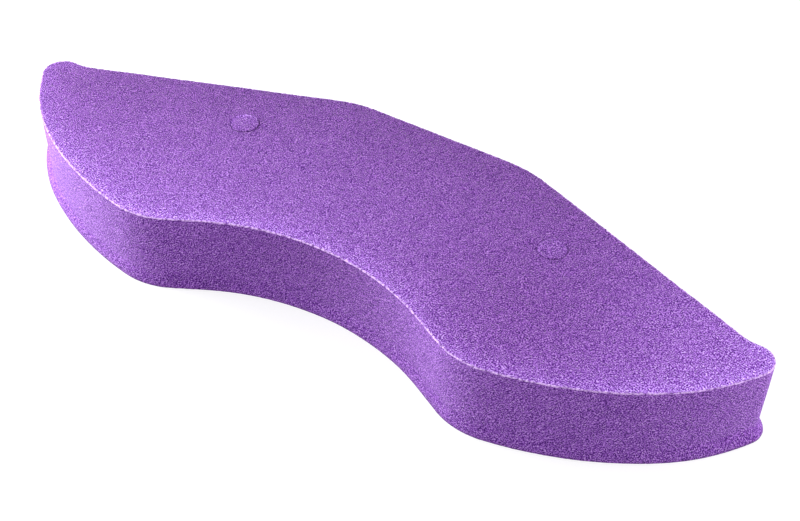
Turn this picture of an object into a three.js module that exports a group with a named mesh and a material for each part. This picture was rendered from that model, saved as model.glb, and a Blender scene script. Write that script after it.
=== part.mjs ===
// A flat block of soft foam with a gull-wing plan, and the two round plugs that were cut
// through it and left standing in their holes.
//
// Millimetres, +Z up. The block lies on its underside at z = 0 and is mirror-symmetric about
// x = 0. Its long hollow front edge faces -Y and its straight, kinked back edge faces +Y. The
// origin is on the underside, in the middle of the length and of the depth.

import * as THREE from 'three';

// Block
const LENGTH = 600; // tip to tip
const DEPTH = 191; // front corners to the middle of the back edge
const THICKNESS = 65;

// Plan outline of one half, followed from the middle of the front edge round to the back.
// Radii are in millimetres and angles in degrees.
const BAY_RADIUS = 193; // hollow in the middle of the front edge
const FLANK_SLOPE = 28; // lean of the straight flank between the hollow and the corner
const CORNER_RADIUS = 60; // front corner
const END_START = 10; // heading where the corner runs into the long end edge
const END_RADIUS = 262; // flatter half of the end edge
const END_MIDDLE = 33.5; // heading where its curve tightens
const END_TIGHT_RADIUS = 160; // half of the end edge next to the tip
const END_FINISH = 60; // heading where the end edge runs into the tip
const TIP_RADIUS = 14.5;
const EAR_FLAT = 5; // level stretch where the tip stands proud of the back edge
const EAR_RADIUS = 25; // hollow between that stretch and the back edge
const BACK_SLOPE = 20.4; // lean of the back edge's two long straights
const KINK_RADIUS = 94; // soft kink where they meet the straight middle

// Side wall. A cut soft block springs in between its two faces, most of all at the tips.
const WALL_DISH = 1.6; // how far the wall stands in along the long edges
const TIP_DISH = 1.8; // how much further it stands in at the tips
const TIP_REACH = 45; // distance over which that fades
const DISH_PROFILE = [
  // share of the thickness, from the underside up, and share of the dish there
  [0, 0],
  [0.04, 0],
  [0.125, 0.5],
  [0.21, 1],
  [0.6, 0.5],
  [1, 0],
];

// Plugs
const PLUG_DIAMETER = 20.5;
const PLUG_KERF = 0.3; // gap left by the cutter round each plug
const PLUG_SPACING = 258; // between the two plugs' centres
const PLUG_FROM_BACK = 67; // from the back edge's middle line to the plugs' centres
const LEFT_PLUG_PROUD = 0.8; // how far each plug stands above the block's top
const RIGHT_PLUG_PROUD = 0.4;
const PLUG_SIDES = 32;

const ARC_STEP = 4; // degrees between the points of a large arc
const TIP_ARC_STEP = 10; // degrees between the points of a tip

const FOAM = { color: 0x9860c8, roughness: 0.95, metalness: 0 };

// Draws a plan line as straights and tangent arcs.
class Pen {
  constructor() {
    this.points = [new THREE.Vector2(0, 0)];
    this.heading = 0; // radians from +X, positive to the left
  }

  get position() {
    return this.points[this.points.length - 1];
  }

  ahead(length) {
    const step = new THREE.Vector2(Math.cos(this.heading), Math.sin(this.heading));
    this.points.push(this.position.clone().addScaledVector(step, length));
  }

  // Follows an arc until the line heads in the direction given, in degrees.
  curveTo(degrees, radius, stepDegrees = ARC_STEP) {
    const turn = THREE.MathUtils.degToRad(degrees) - this.heading;
    const chords = Math.max(1, Math.round(Math.abs(THREE.MathUtils.radToDeg(turn)) / stepDegrees));
    const half = turn / chords / 2;
    for (let i = 0; i < chords; i += 1) {
      this.heading += half;
      this.ahead(2 * radius * Math.sin(Math.abs(half)));
      this.heading += half;
    }
  }
}

// Right half of the outline, for a given length of the front flank.
function halfOutline(flank) {
  const pen = new Pen();
  pen.curveTo(-FLANK_SLOPE, BAY_RADIUS);
  pen.ahead(flank);
  pen.curveTo(END_START, CORNER_RADIUS);
  pen.curveTo(END_MIDDLE, END_RADIUS);
  pen.curveTo(END_FINISH, END_TIGHT_RADIUS);
  pen.curveTo(180, TIP_RADIUS, TIP_ARC_STEP);
  pen.ahead(EAR_FLAT);
  pen.curveTo(180 - BACK_SLOPE, EAR_RADIUS);

  const front = Math.min(...pen.points.map((point) => point.y));
  const back = front + DEPTH;
  const slope = THREE.MathUtils.degToRad(BACK_SLOPE);
  const kinkRise = KINK_RADIUS * (1 - Math.cos(slope));
  pen.ahead((back - kinkRise - pen.position.y) / Math.sin(slope));
  pen.curveTo(180, KINK_RADIUS);
  pen.ahead(pen.position.x);

  const toCentre = new THREE.Vector2(0, -(front + back) / 2);
  return pen.points.map((point) => point.add(toCentre));
}

// Whole outline, anticlockwise. The front flank takes up what the length leaves.
function blockOutline() {
  const widest = Math.max(...halfOutline(0).map((point) => point.x));
  const flank = (LENGTH / 2 - widest) / Math.cos(THREE.MathUtils.degToRad(FLANK_SLOPE));
  const right = halfOutline(flank);
  const left = right.slice(1, -1).reverse().map((point) => new THREE.Vector2(-point.x, point.y));
  return [...right, ...left];
}

// The outline's inward direction at each of its points.
function inwardDirections(outline) {
  return outline.map((point, i) => {
    const before = outline[(i + outline.length - 1) % outline.length];
    const after = outline[(i + 1) % outline.length];
    const along = after.clone().sub(before).normalize();
    return new THREE.Vector2(-along.y, along.x);
  });
}

// How far the wall stands in at each point of the outline where the dish is deepest.
function dishDepths(outline) {
  const tip = outline.reduce((a, b) => (b.x > a.x ? b : a));
  return outline.map((point) => {
    const fromTip = Math.hypot(Math.abs(point.x) - tip.x, point.y - tip.y);
    return WALL_DISH + TIP_DISH * Math.exp(-((fromTip / TIP_REACH) ** 2));
  });
}

// A round hole's outline, clockwise, so that its wall faces the hole.
function holeOutline(x, y, radius) {
  return Array.from({ length: PLUG_SIDES }, (_, i) => {
    const angle = (-2 * Math.PI * i) / PLUG_SIDES;
    return new THREE.Vector2(x + radius * Math.cos(angle), y + radius * Math.sin(angle));
  });
}

// A closed solid between stacked rings of points, with straight holes through it.
function stackedSolid(levels, holes) {
  const positions = [];
  const index = [];

  const addRing = ({ points, z }) => {
    const first = positions.length / 3;
    points.forEach((point) => positions.push(point.x, point.y, z));
    return points.map((_, i) => first + i);
  };
  const addWall = (low, high) => {
    low.forEach((corner, i) => {
      const next = (i + 1) % low.length;
      index.push(corner, low[next], high[next]);
      index.push(corner, high[next], high[i]);
    });
  };

  const bottom = levels[0];
  const top = levels[levels.length - 1];
  const rings = levels.map(addRing);
  const lowHoles = holes.map((points) => addRing({ points, z: bottom.z }));
  const highHoles = holes.map((points) => addRing({ points, z: top.z }));
  rings.slice(1).forEach((ring, i) => addWall(rings[i], ring));
  highHoles.forEach((ring, i) => addWall(lowHoles[i], ring));

  const lowCap = [...rings[0], ...lowHoles.flat()];
  const highCap = [...rings[rings.length - 1], ...highHoles.flat()];
  THREE.ShapeUtils.triangulateShape(top.points, holes).forEach(([a, b, c]) => {
    index.push(highCap[a], highCap[b], highCap[c]);
    index.push(lowCap[c], lowCap[b], lowCap[a]);
  });

  const geometry = new THREE.BufferGeometry();
  geometry.setAttribute('position', new THREE.Float32BufferAttribute(positions, 3));
  geometry.setIndex(index);
  geometry.computeVertexNormals();
  return geometry;
}

function foamMaterial() {
  return new THREE.MeshStandardMaterial(FOAM);
}

const plugY = DEPTH / 2 - PLUG_FROM_BACK;
const plugX = PLUG_SPACING / 2;

function foamBlock() {
  const outline = blockOutline();
  const inward = inwardDirections(outline);
  const depths = dishDepths(outline);
  const levels = DISH_PROFILE.map(([height, share]) => ({
    z: height * THICKNESS,
    points: outline.map((point, i) => point.clone().addScaledVector(inward[i], share * depths[i])),
  }));
  const holeRadius = PLUG_DIAMETER / 2 + PLUG_KERF;
  const holes = [-plugX, plugX].map((x) => holeOutline(x, plugY, holeRadius));
  const mesh = new THREE.Mesh(stackedSolid(levels, holes), foamMaterial());
  mesh.name = 'foam_block';
  return mesh;
}

function plug(name, x, proud) {
  const radius = PLUG_DIAMETER / 2;
  const geometry = new THREE.CylinderGeometry(radius, radius, THICKNESS, PLUG_SIDES);
  geometry.rotateX(Math.PI / 2);
  const mesh = new THREE.Mesh(geometry, foamMaterial());
  mesh.name = name;
  mesh.position.set(x, plugY, THICKNESS / 2 + proud);
  return mesh;
}

const part = new THREE.Group();
part.add(foamBlock());
part.add(plug('left_plug', -plugX, LEFT_PLUG_PROUD));
part.add(plug('right_plug', plugX, RIGHT_PLUG_PROUD));

export default part;
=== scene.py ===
"""A flat block of soft purple foam with a gull-wing plan, and the two round plugs that were cut
right through it and left standing in their holes.

Metres and +Z up, in the frame of the CAD model. Each piece is built as a closed mesh: rings of
points round its cut wall, with rounded edges at the foot and the rim, and finely meshed faces.
"""

import math

import bpy
import numpy as np
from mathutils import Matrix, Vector, geometry, kdtree, noise


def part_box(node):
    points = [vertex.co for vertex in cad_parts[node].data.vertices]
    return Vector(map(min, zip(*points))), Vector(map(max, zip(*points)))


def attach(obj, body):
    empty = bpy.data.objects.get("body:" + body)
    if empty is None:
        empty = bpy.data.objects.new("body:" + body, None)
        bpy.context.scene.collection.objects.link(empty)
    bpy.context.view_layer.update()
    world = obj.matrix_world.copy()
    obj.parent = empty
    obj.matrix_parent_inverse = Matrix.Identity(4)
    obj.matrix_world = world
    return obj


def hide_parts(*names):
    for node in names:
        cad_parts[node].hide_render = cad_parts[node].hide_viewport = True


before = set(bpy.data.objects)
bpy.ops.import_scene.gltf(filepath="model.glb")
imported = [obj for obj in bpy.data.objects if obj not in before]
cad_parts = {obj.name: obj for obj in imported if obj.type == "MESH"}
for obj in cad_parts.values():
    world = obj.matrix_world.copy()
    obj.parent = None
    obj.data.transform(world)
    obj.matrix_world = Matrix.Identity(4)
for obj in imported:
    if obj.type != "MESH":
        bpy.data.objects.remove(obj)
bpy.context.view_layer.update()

MM = 0.001

# Camera
CAMERA_AZIMUTH = 32.99
CAMERA_ELEVATION = 41.49
CAMERA_DISTANCE = 1.2534
CAMERA_AIM = (0.0091, 0.0248, 0.0)
LENS = 77.83  # millimetres
SENSOR_WIDTH = 36  # millimetres

# Plan outline of one half, followed from the middle of the front edge round to the back.
# Headings are in degrees from +X. The block's length and depth come from the frame.
BAY_RADIUS = 193 * MM  # hollow in the middle of the front edge
FLANK_SLOPE = 28  # lean of the straight flank between the hollow and the corner
CORNER_RADIUS = 60 * MM
END_START = 10  # heading where the corner runs into the long end edge
END_RADIUS = 262 * MM
END_MIDDLE = 33.5  # heading where the end edge's curve tightens
END_TIGHT_RADIUS = 160 * MM
END_FINISH = 60  # heading where the end edge runs into the tip
TIP_RADIUS = 14.5 * MM
EAR_FLAT = 5 * MM  # level stretch where the tip stands proud of the back edge
EAR_RADIUS = 25 * MM
BACK_SLOPE = 20.4  # lean of the back edge's two long straights
KINK_RADIUS = 94 * MM
ARC_STEP = 1  # degrees between the points of an arc, before the outline is spaced evenly

# Cut wall of the block: it springs in between the two faces, most of all at the tips.
WALL_DISH = 1.6 * MM
TIP_DISH = 1.8 * MM
TIP_REACH = 45 * MM
DISH_START = 0.04  # share of the thickness, from the underside, where the dish starts
DISH_DEEPEST = 0.21  # and where it is deepest

# Foot of the block's wall: it spreads a little under the weight, most of all at the left end.
FOOT_ROUND = 0.8 * MM
TIP_FOOT_ROUND = 2.2 * MM
TIP_SPREAD = 0.5 * MM
TIP_SPREAD_REACH = 30 * MM
LEFT_SPREAD = 2.8 * MM
LEFT_SPREAD_REACH = 115 * MM

# Rim and top face
RIM_ROUND = 0.5 * MM
CROWN = 0.35 * MM  # how far the top face has sunk at its rim
CROWN_REACH = 12 * MM

# Plugs and the cuts round them
PLUGS = {"left_plug": 0.50, "right_plug": 0.15}  # with the strength of the painted highlight along the far side of each one's rim
PLUG_KERF = 0.3 * MM
PLUG_SIDES = 56
PLUG_WAIST = 0.2 * MM  # how far a plug's wall stands in
PLUG_ROUND = 0.4 * MM
HOLE_ROUND = 0.3 * MM
PLUG_TONE = 0.95
KERF_SHADE = 0.90  # painted shade on the walls of the cuts, deep in the narrow kerf
# Heading of the plugs' far side, where a highlight is painted along the rim, and how far it
# reaches in
HIGHLIGHT_SIDE = math.radians(125)
HIGHLIGHT_REACH = 1.5 * MM

# Mesh
WALL_STEP = 1.35 * MM  # between points round a wall
RING_STEP = 1.9 * MM  # between rings up a wall
TOP_STEP = 1.6 * MM
UNDERSIDE_STEP = 4.5 * MM
CLEARANCE = 0.6  # of a face's points from its rim, as a share of the step
ROUND_STEPS = 3  # rings in each rounded edge
SAME_POINT = 1e-7  # points of a face closer than this are one
WITHIN_RIMS = 1  # Blender's code for triangles inside the outer rim only

# Surface map
SHEET_GAP = 6 * MM  # between its areas
BLOCK_SHEET = 622 * MM
PLUG_SHEET = 110 * MM
BLOCK_STRIPS = 3  # that the block's wall is mapped in

# Small unevenness of the cut foam: height and length of each kind of wave.
SWELL = (0.20 * MM, 38 * MM)
DIMPLE = (0.03 * MM, 3.2 * MM)
FRAY = (0.28 * MM, 2.9 * MM)  # along the edges only
FRAY_REACH = 1.4 * MM
CALM_REACH = 30 * MM  # round the plugs, where the foam has no swells

# Painted light and shade in the colour: how much paler, as a power of e, and how far that reaches.
TOP_PAINTED_LIGHT = 0.30  # painted light on the whole top face
FRONT_PAINTED_LIGHT = (0.38, 13 * MM)  # painted light along the front and end edges
BACK_PAINTED_SHADE = (0.69, 132 * MM)  # painted shade along the back edge
# Broad patches of painted light and shade. Their places are shares of the block's half length and
# half depth.
TOP_LIGHT_AND_SHADE = [
    ((0.89, 0.38), 0.64, 128 * MM),  # right tip: painted light
    ((-0.54, -1.0), 0.12, 90 * MM),  # left front corner: painted light
    ((0.54, -0.30), -0.33, 90 * MM),  # right wing: painted shade
]
WALL_LIGHT_AND_SHADE = [
    ((0.02, -0.65), -0.28, 62 * MM),  # hollow in the front edge: painted shade, deepest towards the rim
    ((-0.95, 0.0), 0.22, 110 * MM),  # left end: painted light
]
# Painted contact shadow: darkening of the lowest line of the block's wall, where it stands on the
# floor. Its reach is a share of the thickness.
FOOT_SHADE = (0.9, 0.015)
# Where painted light and shade or a plug's own colour change the colour, green changes by this
# power of red and blue, so painted light is greyer as well as paler.
GREEN_POWER = 1.5

# Foam's grain
CELL = 1.0 * MM
SURROUNDINGS = 0.8 * MM  # how far from a spot its surroundings are taken
CONTRAST = 0.85
NEUTRAL = 0.5  # grain of a spot that is like its surroundings
TILT = (0.6, 0.45, 0.3)  # radians: no face of the block lies along the grain's lattice
BEND = (3 * MM, 9 * MM)  # height and length of the waves that bend the lattice
FOAM_BAND = [  # colour by grain
    (0.24, (0.041, 0.002, 0.129)),  # deepest pits
    (0.38, (0.112, 0.020, 0.249)),
    (0.50, (0.227, 0.071, 0.418)),
    (0.62, (0.375, 0.147, 0.627)),
    (0.79, (0.575, 0.329, 0.790)),  # palest cell walls
]
MOTTLE = 22 * MM  # size of the faint clouds of colour
MOTTLE_BAND = [(0.3, (0.95, 0.93, 0.96)), (0.7, (1.0, 1.0, 1.0))]
BUMP = 0.9 * MM  # depth of the grain
ROUGHNESS = (-0.2, 1.0)  # factor and shift from the grain to the roughness
SHEEN = 0.2
SHEEN_ROUGHNESS = 0.45
SHEEN_TINT = (0.93, 0.85, 1.0, 1.0)
SPECULAR = 0.05

# Painted highlight along the frayed cut edges, where they catch light: a pale lip
LIP_HIGHLIGHT = (0.780, 0.500, 1.000, 1.0)
TUFT = 1.9 * MM  # size of the tufts that break the lip up
TUFT_REACH = 1.6 * MM  # how far the strongest tufts carry the lip out
LIP_FULL = -0.6 * MM  # edge distance, less the tufts' reach, up to which the lip is full
LIP_GONE = 0.5 * MM  # and where it ends
TUFT_STRENGTH = (2.4, -0.35)  # factor and shift from the tufts' noise to the lip's strength
WALL_LIP = 2.0  # how much narrower the lip is on the wall than on the face
NO_LIP = 10 * MM  # added to the edge distance where an edge has no lip

# Studio
LIGHT_DISTANCE = 1.2
LIGHT_SIZE = 0.9
WORLD_STRENGTH = 0.50
KEY_COLOUR = (0.94, 1.0, 0.94)
FLOOR_HALF = 4.0
FLOOR_DROP = 0.2 * MM  # keeps the floor clear of the underside
FLOOR_GLOW = 0.77  # the floor is a lit, milky table
FLOOR_CLOUD = 1 / 3.0  # size of its faint clouds
FLOOR_BAND = [(0.3, (0.30, 0.30, 0.30)), (0.7, (0.33, 0.33, 0.33))]
FLOOR_ROUGHNESS = 0.9
WHITE = (1, 1, 1, 1)


def make_camera():
    azimuth = math.radians(CAMERA_AZIMUTH)
    elevation = math.radians(CAMERA_ELEVATION)
    back = Vector((
        math.sin(azimuth) * math.cos(elevation),
        -math.cos(azimuth) * math.cos(elevation),
        math.sin(elevation),
    ))
    data = bpy.data.cameras.new("camera")
    data.lens = LENS
    data.sensor_width = SENSOR_WIDTH
    camera = bpy.data.objects.new("camera", data)
    camera.location = Vector(CAMERA_AIM) + back * CAMERA_DISTANCE
    camera.rotation_mode = "QUATERNION"
    camera.rotation_quaternion = (-back).to_track_quat("-Z", "Y")
    bpy.context.scene.collection.objects.link(camera)
    bpy.context.scene.camera = camera


class Pen:
    """Draws a plan line as straights and tangent arcs."""

    def __init__(self):
        self.points = [np.zeros(2)]
        self.heading = 0.0

    def ahead(self, length):
        step = np.array([math.cos(self.heading), math.sin(self.heading)])
        self.points.append(self.points[-1] + step * length)

    def curve_to(self, degrees, radius):
        turn = math.radians(degrees) - self.heading
        chords = max(1, round(abs(math.degrees(turn)) / ARC_STEP))
        half = turn / chords / 2
        for _ in range(chords):
            self.heading += half
            self.ahead(2 * radius * math.sin(abs(half)))
            self.heading += half


def half_outline(flank, depth):
    """Right half of the block's outline, for a given length of the front flank."""
    pen = Pen()
    pen.curve_to(-FLANK_SLOPE, BAY_RADIUS)
    pen.ahead(flank)
    pen.curve_to(END_START, CORNER_RADIUS)
    pen.curve_to(END_MIDDLE, END_RADIUS)
    pen.curve_to(END_FINISH, END_TIGHT_RADIUS)
    pen.curve_to(180, TIP_RADIUS)
    pen.ahead(EAR_FLAT)
    pen.curve_to(180 - BACK_SLOPE, EAR_RADIUS)

    front = min(point[1] for point in pen.points)
    slope = math.radians(BACK_SLOPE)
    kink_rise = KINK_RADIUS * (1 - math.cos(slope))
    pen.ahead((front + depth - kink_rise - pen.points[-1][1]) / math.sin(slope))
    pen.curve_to(180, KINK_RADIUS)
    pen.ahead(pen.points[-1][0])
    return np.array(pen.points) - (0, front + depth / 2)


def evenly_spaced(loop, step):
    """The same closed line with points at even distances of about step."""
    closed = np.vstack([loop, loop[:1]])
    along = np.concatenate([[0], np.cumsum(np.linalg.norm(np.diff(closed, axis=0), axis=1))])
    count = round(along[-1] / step)
    at = np.linspace(0, along[-1], count, endpoint=False)
    return np.column_stack([np.interp(at, along, closed[:, axis]) for axis in (0, 1)])


def block_outline(low, high):
    """Whole outline, anticlockwise. The front flank takes up what the length leaves."""
    depth = high.y - low.y
    widest = half_outline(0, depth)[:, 0].max()
    flank = (high.x - widest) / math.cos(math.radians(FLANK_SLOPE))
    right = half_outline(flank, depth)
    left = right[-2:0:-1] * (-1, 1)
    return evenly_spaced(np.vstack([right, left]), WALL_STEP)


def circle(centre, radius, count):
    angles = np.linspace(0, 2 * math.pi, count, endpoint=False)
    return np.array(centre) + radius * np.column_stack([np.cos(angles), np.sin(angles)])


def inward(loop):
    """The direction into the foam at each point of an anticlockwise outline."""
    along = np.roll(loop, -1, axis=0) - np.roll(loop, 1, axis=0)
    along /= np.linalg.norm(along, axis=1)[:, None]
    return np.column_stack([-along[:, 1], along[:, 0]])


def from_tips(outline):
    """Distance of each point of the outline from the nearer tip, and from the left one."""
    tip = outline[outline[:, 0].argmax()]
    across = outline[:, 1] - tip[1]
    nearer = np.hypot(np.abs(outline[:, 0]) - tip[0], across)
    return nearer, np.hypot(outline[:, 0] + tip[0], across)


def fade(distance, reach):
    """Falls smoothly from 1 at no distance, to 0.37 at the reach, to nothing."""
    return np.exp(-((distance / reach) ** 2))


class Wall:
    """The section of a piece's cut wall, which may differ from point to point of its outline."""

    def __init__(self, outline, dish, foot_round, spread, rim_round):
        ones = np.ones(len(outline))
        self.dish = dish * ones
        self.foot = foot_round * ones
        self.spread = spread * ones
        self.rim = rim_round * ones

    def rings(self, thickness):
        """From the underside up to the top face: (height, inset, distance to the nearer edge)."""
        quarter = [math.pi / 2 * i / ROUND_STEPS for i in range(ROUND_STEPS + 1)]
        rings = []
        for angle in quarter:
            height = self.foot * (1 - math.cos(angle))
            inset = self.foot * (1 - math.sin(angle))
            rings.append((height, inset, WALL_LIP * self.foot * angle))
        low, high = self.foot, thickness - self.rim
        steps = round((thickness - self.foot.min()) / RING_STEP)
        for i in range(1, steps):
            height = low + (high - low) * i / steps
            edge = WALL_LIP * np.minimum(height - low + low * math.pi / 2, high - height)
            rings.append((height, 0 * height, edge))
        for angle in quarter:
            height = thickness - self.rim * (1 - math.sin(angle))
            inset = self.rim * (1 - math.cos(angle))
            rings.append((height, inset, self.rim * angle))
        return [(height, inset + self.stand_in(height / thickness), edge)
                for height, inset, edge in rings]

    def stand_in(self, height):
        """How far the wall stands in at a height given as a share of the thickness."""
        rise = np.clip((height - DISH_START) / (DISH_DEEPEST - DISH_START), 0, 1)
        smooth = rise * rise * (3 - 2 * rise)
        above = np.clip((height - DISH_DEEPEST) / (1 - DISH_DEEPEST), 0, 1)
        return self.dish * smooth * (1 - above) - self.spread * (1 - smooth)


def block_wall(outline):
    """The block's wall, which flares at the foot near its tips and all along its left end."""
    nearer, from_left = from_tips(outline)
    tip_spread = TIP_SPREAD * fade(nearer, TIP_SPREAD_REACH)
    return Wall(
        outline,
        dish=WALL_DISH + TIP_DISH * fade(nearer, TIP_REACH),
        foot_round=FOOT_ROUND + TIP_FOOT_ROUND * fade(nearer, TIP_SPREAD_REACH),
        spread=tip_spread + LEFT_SPREAD * fade(from_left, LEFT_SPREAD_REACH),
        rim_round=RIM_ROUND,
    )


class SurfaceMap:
    """Lays areas of the surface out on shelves, one above the other, on a square sheet."""

    def __init__(self, side):
        self.side = side
        self.top = SHEET_GAP / 2  # of the highest shelf
        self.shelves = []

    def place(self, width, height):
        """The low corner of the first free place that is wide and high enough."""
        for shelf in self.shelves:
            wide = shelf["filled"] + width + SHEET_GAP / 2 <= self.side
            if wide and height <= shelf["height"] + SHEET_GAP / 2:
                break
        else:
            shelf = {"filled": SHEET_GAP / 2, "foot": self.top, "height": height}
            self.shelves.append(shelf)
            self.top += height + SHEET_GAP
        placed = np.array([shelf["filled"], shelf["foot"]])
        shelf["filled"] += width + SHEET_GAP
        return placed


class FoamMesh:
    """Collects the points, faces and surface map of one closed piece of foam."""

    def __init__(self, sheet_side):
        self.points = []
        self.edge = []  # distance along the surface to the nearest cut edge
        self.tone_and_painted_light = []  # what the colour is multiplied by: painted light and shade, and a plug's own colour
        self.faces = []
        self.uvs = []
        self.sheet = SurfaceMap(sheet_side)

    def add_points(self, points, edge, tone_and_painted_light):
        first = len(self.points)
        self.points.extend(map(tuple, points))
        self.edge.extend(np.broadcast_to(edge, len(points)))
        self.tone_and_painted_light.extend(np.broadcast_to(tone_and_painted_light, len(points)))
        return list(range(first, len(self.points)))

    def add_wall(self, rings, heights, strips=1):
        """Quads between rings of points, mapped as one or more strips laid side by side."""
        count = len(rings[0])
        corners = np.array([self.points[i] for i in rings[0]])
        steps = np.linalg.norm(np.roll(corners, -1, axis=0) - corners, axis=1)
        along = np.concatenate([[0], np.cumsum(steps)])
        for strip in range(strips):
            start = count * strip // strips
            stop = count * (strip + 1) // strips
            width = along[stop] - along[start]
            left, low = self.sheet.place(width, heights[-1] - heights[0])
            for i in range(start, stop):
                u = left + along[i] - along[start], left + along[i + 1] - along[start]
                after = (i + 1) % count
                for j in range(len(rings) - 1):
                    v = low + heights[j] - heights[0], low + heights[j + 1] - heights[0]
                    lower, upper = rings[j], rings[j + 1]
                    self.faces.append((lower[i], lower[after], upper[after], upper[i]))
                    self.uvs.extend([(u[0], v[0]), (u[1], v[0]), (u[1], v[1]), (u[0], v[1])])

    def add_face(self, outer, inner, shape_at, step, facing_up):
        """Fills the flat face inside the outer ring and outside the inner ones."""
        loops = [outer, *inner]
        ring_points = np.array([self.points[i][:2] for loop in loops for i in loop])
        outer_points = ring_points[: len(outer)]
        inner_loops = [np.array([self.points[i][:2] for i in loop]) for loop in inner]
        spread = triangle_grid(outer_points, step)
        spread = spread[inside(spread, outer_points)]
        for loop in inner_loops:
            spread = spread[~inside(spread, loop)]
        spread = spread[distance_to(spread, ring_points) > step * CLEARANCE]
        heights, edge, tone_and_painted_light = shape_at(spread)
        added = self.add_points(np.column_stack([spread, heights]), edge, tone_and_painted_light)

        ids = [i for loop in loops for i in loop] + added
        flat = np.vstack([ring_points, spread])
        rims, first = [], 0
        for loop in loops:
            last = first + len(loop)
            rims += [(i, i + 1 if i + 1 < last else first) for i in range(first, last)]
            first = last
        corners = [Vector(point) for point in flat]
        result = geometry.delaunay_2d_cdt(corners, rims, [], WITHIN_RIMS, SAME_POINT)
        source = [ids[found[0]] for found in result[3]]
        triangles = np.array(result[2])
        middles = np.array([tuple(point) for point in result[0]])[triangles].mean(axis=1)
        kept = np.ones(len(triangles), bool)
        for loop in inner_loops:
            kept &= ~inside(middles, loop)

        corner = outer_points.min(axis=0)
        size = outer_points.max(axis=0) - corner
        offset = self.sheet.place(*size) - corner
        for triangle in triangles[kept]:
            order = triangle if facing_up else triangle[::-1]
            face = tuple(source[i] for i in order)
            self.faces.append(face)
            for i in face:
                self.uvs.append((self.points[i][0] + offset[0], self.points[i][1] + offset[1]))

    def finish(self, name):
        mesh = bpy.data.meshes.new(name)
        mesh.from_pydata(self.points, [], self.faces)
        uv_layer = mesh.uv_layers.new(name="OFBake")
        coordinates = np.array(self.uvs) / self.sheet.side
        uv_layer.data.foreach_set("uv", coordinates.astype(np.float32).ravel())
        edge = mesh.attributes.new("edge_distance", "FLOAT", "POINT")
        edge.data.foreach_set("value", np.array(self.edge, np.float32))
        tone_and_painted_light = mesh.attributes.new("tone_and_painted_light", "FLOAT", "POINT")
        tone_and_painted_light.data.foreach_set("value", np.array(self.tone_and_painted_light, np.float32))
        mesh.shade_smooth()
        piece = bpy.data.objects.new(name, mesh)
        bpy.context.scene.collection.objects.link(piece)
        return piece


def triangle_grid(loop, step):
    """Points on a grid of equal triangles that covers an outline."""
    low, high = loop.min(axis=0), loop.max(axis=0)
    rows = np.arange(low[1], high[1], step * math.sqrt(3) / 2)
    columns = np.arange(low[0], high[0] + step, step)
    x, y = np.meshgrid(columns, rows)
    x[1::2] -= step / 2
    return np.column_stack([x.ravel(), y.ravel()])


def inside(points, loop):
    """Which points lie inside a closed line, by counting the crossings to their right."""
    result = np.zeros(len(points), bool)
    for (x0, y0), (x1, y1) in zip(loop, np.roll(loop, -1, axis=0)):
        if y0 == y1:
            continue
        spans = (points[:, 1] > y0) != (points[:, 1] > y1)
        crossing = x0 + (points[spans, 1] - y0) * (x1 - x0) / (y1 - y0)
        result[spans] ^= points[spans, 0] < crossing
    return result


def distance_to(points, targets):
    tree = kdtree.KDTree(len(targets))
    for i, (x, y) in enumerate(targets):
        tree.insert((x, y, 0), i)
    tree.balance()
    return np.array([tree.find((x, y, 0))[2] for x, y in points])


def patchy(points, patches, half):
    """The broad patches' joint effect at each point, as a power of e."""
    return sum(
        amount * fade(np.linalg.norm(points - np.array(place) * half, axis=1), reach)
        for place, amount, reach in patches
    )


def block_painted_light(points, share, outline):
    """The painted light and shade that the colour is multiplied by, at points at one share of the
    block's thickness.
    """
    half = outline.max(axis=0)
    if share == 0:
        return 1.0
    # Wall: broad patches of painted light and shade, which grow with height.
    if share < 1:
        # painted contact shadow along the foot of the wall
        foot = FOOT_SHADE[0] * math.exp(-share / FOOT_SHADE[1])
        return np.exp(share * patchy(points, WALL_LIGHT_AND_SHADE, half) - foot)
    # Top face: painted light over the whole face and along the front and ends, painted shade along
    # the back, and broad patches of both.
    tip = outline[outline[:, 0].argmax()]
    middle = np.abs(outline[:, 0]) < tip[0] - TIP_RADIUS
    back = middle & (outline[:, 1] > tip[1])
    paler = FRONT_PAINTED_LIGHT[0] * np.exp(-distance_to(points, outline[~back]) / FRONT_PAINTED_LIGHT[1])
    deeper = BACK_PAINTED_SHADE[0] * np.exp(-distance_to(points, outline[back]) / BACK_PAINTED_SHADE[1])
    return np.exp(TOP_PAINTED_LIGHT + paler - deeper + patchy(points, TOP_LIGHT_AND_SHADE, half))


def plug_tone_and_painted_light(points, share, outline, rim_highlight):
    """The same for a plug: its own colour, with a painted highlight along the far side of its rim
    and painted shade on its wall in the cut.
    """
    if 0 < share < 1:
        # the plug's wall, deep in the kerf: painted shade
        return KERF_SHADE
    centre = outline.mean(axis=0)
    arms = points - centre
    out = np.linalg.norm(arms, axis=1)
    side = np.array([math.cos(HIGHLIGHT_SIDE), math.sin(HIGHLIGHT_SIDE)])
    facing = np.clip(arms @ side / np.maximum(out, MM), 0, 1)
    from_rim = np.linalg.norm(outline[0] - centre) - out
    return PLUG_TONE * np.exp(rim_highlight * facing * np.exp(-from_rim / HIGHLIGHT_REACH))


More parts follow.
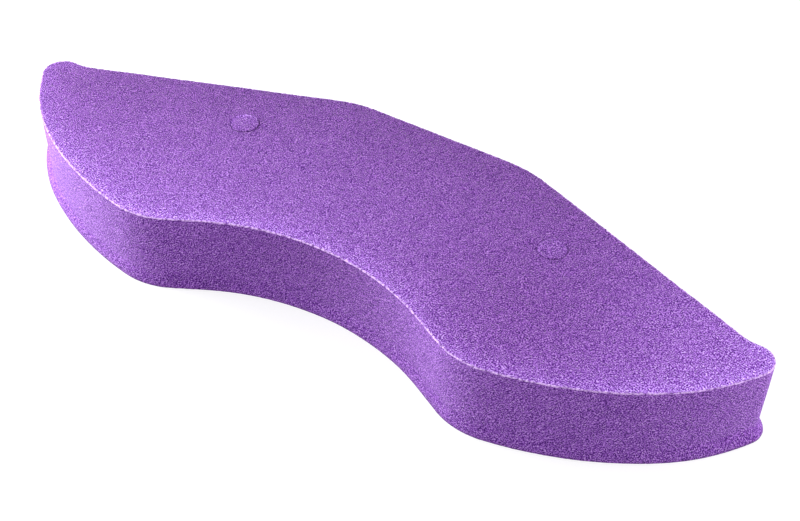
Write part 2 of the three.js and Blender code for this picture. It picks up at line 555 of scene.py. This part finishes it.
def roughen(piece, calm):
    """Moves each point along its normal by the foam's swells, dimples and frayed edges.

    The swells die away towards the calm places, so that the cuts there stay even.
    """
    mesh = piece.data
    count = len(mesh.vertices)
    points = np.empty(count * 3)
    normals = np.empty(count * 3)
    edge = np.empty(count)
    mesh.vertices.foreach_get("co", points)
    mesh.vertices.foreach_get("normal", normals)
    mesh.attributes["edge_distance"].data.foreach_get("value", edge)
    points = points.reshape(-1, 3)
    normals = normals.reshape(-1, 3)
    swell = SWELL[0] * noise_at(points / SWELL[1])
    for place in calm:
        swell *= 1 - fade(np.linalg.norm(points[:, :2] - place, axis=1), CALM_REACH)
    lift = swell + DIMPLE[0] * noise_at(points / DIMPLE[1])
    fray = np.exp(-((edge / FRAY_REACH) ** 2))
    lift += fray * FRAY[0] * noise_at(points / FRAY[1])
    floor = points[:, 2].min()
    points += normals * lift[:, None]
    points[:, 2] = np.maximum(points[:, 2], floor)
    mesh.vertices.foreach_set("co", points.ravel())
    mesh.update()


def noise_at(points):
    return np.array([noise.noise(point) for point in points.tolist()])


def foam_piece(name, outline, wall, low, high, sheet_side, tone_at, calm,
               strips=1, holes=(), crown=0.0, no_lip=0.0):
    """A closed slab of foam between two heights, with round holes given as outlines.

    tone_at(points, share of the thickness) gives what the colour is multiplied by: painted light
    and shade, and a plug's own colour.
    """
    built = FoamMesh(sheet_side)
    thickness = high - low
    into = inward(outline)
    sections = wall.rings(thickness)
    rings = []
    for height, inset, edge in sections:
        ring = outline + into * inset[:, None]
        level = low + height * (thickness - crown) / thickness
        tone_and_painted_light = tone_at(ring, height[0] / thickness)
        rings.append(built.add_points(np.column_stack([ring, level]), edge + no_lip, tone_and_painted_light))

    hole_rings = []
    for hole in holes:
        out = inward(hole)
        loops = []
        for height, inset, edge in Wall(hole, 0, HOLE_ROUND, 0, HOLE_ROUND).rings(thickness):
            ring = hole + out * inset[:, None]
            share = height[0] / thickness
            # the hole's wall, deep in the kerf: painted shade
            tone_and_painted_light = tone_at(ring, share) if share in (0, 1) else KERF_SHADE
            points = np.column_stack([ring, low + height])
            loops.append(built.add_points(points, edge + NO_LIP, tone_and_painted_light))
        hole_rings.append(loops)

    def top_shape(points):
        from_rim = distance_to(points, outline)
        level = high - crown * np.exp(-from_rim / CROWN_REACH)
        return level, from_rim + no_lip, tone_at(points, 1)

    def underside_shape(points):
        return np.full(len(points), low), distance_to(points, outline) + no_lip, tone_at(points, 0)

    heights = [height.mean() for height, _, _ in sections]
    built.add_face(rings[-1], [loops[-1] for loops in hole_rings], top_shape, TOP_STEP, True)
    underside_holes = [loops[0] for loops in hole_rings]
    built.add_face(rings[0], underside_holes, underside_shape, UNDERSIDE_STEP, False)
    built.add_wall(rings, heights, strips)
    for loops in hole_rings:
        built.add_wall(loops, np.linspace(0, thickness, len(loops)))
    piece = built.finish(name)
    roughen(piece, calm)
    return piece


class Shader:
    """A short way to write a material's nodes."""

    def __init__(self, name):
        self.material = bpy.data.materials.new(name)
        self.material.use_nodes = True
        self.tree = self.material.node_tree
        self.surface = self.tree.nodes["Principled BSDF"]

    def feed(self, socket, value):
        """Links another node's output to a socket, or sets the socket to a plain value."""
        if isinstance(value, bpy.types.NodeSocket):
            self.tree.links.new(value, socket)
        else:
            socket.default_value = value

    def set(self, node, **values):
        for name, value in values.items():
            self.feed(node.inputs[name.replace("_", " ")], value)

    def node(self, kind, settings=(), **values):
        node = self.tree.nodes.new(kind)
        for name, value in dict(settings).items():
            setattr(node, name, value)
        self.set(node, **values)
        return node

    def math(self, operation, *values, kind="ShaderNodeMath"):
        node = self.node(kind, {"operation": operation})
        for socket, value in zip(node.inputs, values):
            self.feed(socket, value)
        return node.outputs[0]

    def ramp(self, factor, stops):
        """A colour band: stops are (place, colour) pairs."""
        node = self.node("ShaderNodeValToRGB", Fac=factor)
        elements = node.color_ramp.elements
        while len(elements) < len(stops):
            elements.new(1.0)
        for element, (place, colour) in zip(elements, stops):
            element.position = place
            element.color = (*colour, 1)
        return node.outputs["Color"]

    def mix(self, factor, first, second, blend="MIX"):
        node = self.node("ShaderNodeMix", {"data_type": "RGBA", "blend_type": blend})
        colour_sockets = [node.inputs[i] for i in (0, 6, 7)]
        for socket, value in zip(colour_sockets, (factor, first, second)):
            self.feed(socket, value)
        return node.outputs[2]


def foam_grain(shader, place):
    """Noise at each spot against its mean close by, which keeps the grain even and fine."""
    height, length = BEND
    waves = shader.node("ShaderNodeTexNoise", Vector=place, Scale=1 / length, Detail=0.0)
    bent = shader.math(
        "MULTIPLY_ADD", waves.outputs["Color"], (height,) * 3, place, kind="ShaderNodeVectorMath"
    )
    corners = [(1, 1, 1), (1, -1, -1), (-1, 1, -1), (-1, -1, 1)]  # of a tetrahedron
    reach = SURROUNDINGS / math.sqrt(3)
    spots = [(CONTRAST, (0, 0, 0))]
    spots += [(-CONTRAST / len(corners), corner) for corner in corners]
    grain = NEUTRAL
    for weight, corner in spots:
        offset = tuple(reach * step for step in corner)
        spot = shader.node("ShaderNodeMapping", Vector=bent, Rotation=TILT, Location=offset)
        noise_there = shader.node(
            "ShaderNodeTexNoise", Vector=spot.outputs[0], Scale=1 / CELL, Detail=0.0
        )
        grain = shader.math("MULTIPLY_ADD", noise_there.outputs[0], weight, grain)
    return grain


def foam_lip_highlight(shader, place):
    """How much a spot belongs to the painted highlight, a pale lip along a frayed cut edge."""
    edge = shader.node("ShaderNodeAttribute", {"attribute_name": "edge_distance"})
    tufts = shader.node("ShaderNodeTexNoise", Vector=place, Scale=1 / TUFT, Detail=0.0)
    tuft = tufts.outputs[0]
    jagged = shader.math("MULTIPLY_ADD", tuft, -TUFT_REACH, edge.outputs["Fac"])
    near = shader.node("ShaderNodeMapRange", Value=jagged)
    shader.set(near, From_Min=LIP_FULL, From_Max=LIP_GONE, To_Min=1.0, To_Max=0.0)
    broken = shader.math("MULTIPLY_ADD", tuft, *TUFT_STRENGTH)
    return shader.math("MULTIPLY", near.outputs[0], broken)


def foam_material():
    """Open-celled foam: dark pits between pale cell walls, with a painted highlight along the
    frayed cut edges.
    """
    shader = Shader("purple_foam")
    place = shader.node("ShaderNodeTexCoord").outputs["Object"]
    mottle = shader.node("ShaderNodeTexNoise", Vector=place, Scale=1 / MOTTLE, Detail=2.0)
    grain = foam_grain(shader, place)
    colour = shader.ramp(grain, FOAM_BAND)

    # Painted light and shade, and the plugs' own colour, carried by the mesh
    tone_and_painted_light = shader.node("ShaderNodeAttribute", {"attribute_name": "tone_and_painted_light"}).outputs["Fac"]
    green = shader.math("POWER", tone_and_painted_light, GREEN_POWER)
    tint = shader.node("ShaderNodeCombineColor", Red=tone_and_painted_light, Green=green, Blue=tone_and_painted_light)
    colour = shader.mix(1.0, colour, tint.outputs["Color"], "MULTIPLY")
    mottled = shader.ramp(mottle.outputs[0], MOTTLE_BAND)
    colour = shader.mix(1.0, colour, mottled, "MULTIPLY")
    # painted highlight along the cut edges
    colour = shader.mix(foam_lip_highlight(shader, place), colour, LIP_HIGHLIGHT)

    rough = shader.math("MULTIPLY_ADD", grain, *ROUGHNESS)
    bump = shader.node("ShaderNodeBump", Height=grain, Strength=1.0, Distance=BUMP)
    shader.set(shader.surface, Base_Color=colour, Roughness=rough, Normal=bump.outputs[0])
    shader.set(shader.surface, Sheen_Weight=SHEEN, Sheen_Roughness=SHEEN_ROUGHNESS)
    shader.set(shader.surface, Sheen_Tint=SHEEN_TINT, Specular_IOR_Level=SPECULAR)
    return shader.material


def floor_material():
    shader = Shader("pale_floor")
    place = shader.node("ShaderNodeTexCoord").outputs["Object"]
    cloud = shader.node("ShaderNodeTexNoise", Vector=place, Scale=1 / FLOOR_CLOUD, Detail=3.0)
    colour = shader.ramp(cloud.outputs[0], FLOOR_BAND)
    shader.set(shader.surface, Base_Color=colour, Roughness=FLOOR_ROUGHNESS)
    shader.set(shader.surface, Emission_Color=WHITE, Emission_Strength=FLOOR_GLOW)
    return shader.material


def make_floor():
    half = FLOOR_HALF
    corners = [(-half, -half, 0), (half, -half, 0), (half, half, 0), (-half, half, 0)]
    mesh = bpy.data.meshes.new("floor")
    mesh.from_pydata(corners, [], [(0, 1, 2, 3)])
    mesh.materials.append(floor_material())
    floor = bpy.data.objects.new("floor", mesh)
    floor.location.z = -FLOOR_DROP
    bpy.context.scene.collection.objects.link(floor)


def studio_light(name, azimuth, elevation, power, colour=(1, 1, 1)):
    """A square soft light that faces the block. Azimuth is in degrees from +X."""
    turn = math.radians(azimuth)
    rise = math.radians(elevation)
    place = LIGHT_DISTANCE * Vector((
        math.cos(turn) * math.cos(rise),
        math.sin(turn) * math.cos(rise),
        math.sin(rise),
    ))
    data = bpy.data.lights.new(name, "AREA")
    data.shape = "SQUARE"
    data.size = LIGHT_SIZE
    data.energy = power
    data.color = colour
    light = bpy.data.objects.new(name, data)
    light.location = place
    light.rotation_mode = "QUATERNION"
    light.rotation_quaternion = (-place).to_track_quat("-Z", "Y")
    light.visible_camera = False
    bpy.context.scene.collection.objects.link(light)


def light_studio():
    scene = bpy.context.scene
    scene.view_settings.view_transform = "Standard"
    world = bpy.data.worlds.new("studio")
    world.use_nodes = True
    background = world.node_tree.nodes["Background"]
    background.inputs["Color"].default_value = WHITE
    background.inputs["Strength"].default_value = WORLD_STRENGTH
    scene.world = world
    studio_light("key_light", azimuth=-170, elevation=17, power=37.6, colour=KEY_COLOUR)
    studio_light("fill_light", azimuth=30, elevation=20, power=13)


def dress(piece, node, body, material):
    """Gives a piece its material and its body, and hides the CAD node that it stands for."""
    piece.data.materials.append(material)
    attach(piece, body)
    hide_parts(node)


def plug_place(node):
    """A plug's centre in plan, its radius, and its lowest and highest heights."""
    low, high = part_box(node)
    centre = np.array([(low.x + high.x) / 2, (low.y + high.y) / 2])
    return centre, (high.x - low.x) / 2, low.z, high.z


def make_block(material):
    low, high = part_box("foam_block")
    outline = block_outline(low, high)
    places = [plug_place(node)[:2] for node in PLUGS]
    holes = [circle(centre, radius + PLUG_KERF, PLUG_SIDES)[::-1] for centre, radius in places]
    block = foam_piece(
        "block_of_foam", outline, block_wall(outline), low.z, high.z, BLOCK_SHEET,
        lambda points, share: block_painted_light(points, share, outline),
        calm=[centre for centre, _ in places], strips=BLOCK_STRIPS, holes=holes, crown=CROWN,
    )
    dress(block, "foam_block", "block", material)


def make_plug(node, rim_highlight, material):
    centre, radius, low, high = plug_place(node)
    outline = circle(centre, radius, PLUG_SIDES)
    wall = Wall(outline, PLUG_WAIST, PLUG_ROUND, 0, PLUG_ROUND)
    plug = foam_piece(
        node + "_of_foam", outline, wall, low, high, PLUG_SHEET,
        lambda points, share: plug_tone_and_painted_light(points, share, outline, rim_highlight),
        calm=[centre], no_lip=NO_LIP,
    )
    dress(plug, node, node, material)


make_camera()
foam = foam_material()
make_block(foam)
for plug, highlight_strength in PLUGS.items():
    make_plug(plug, highlight_strength, foam)
make_floor()
light_studio()
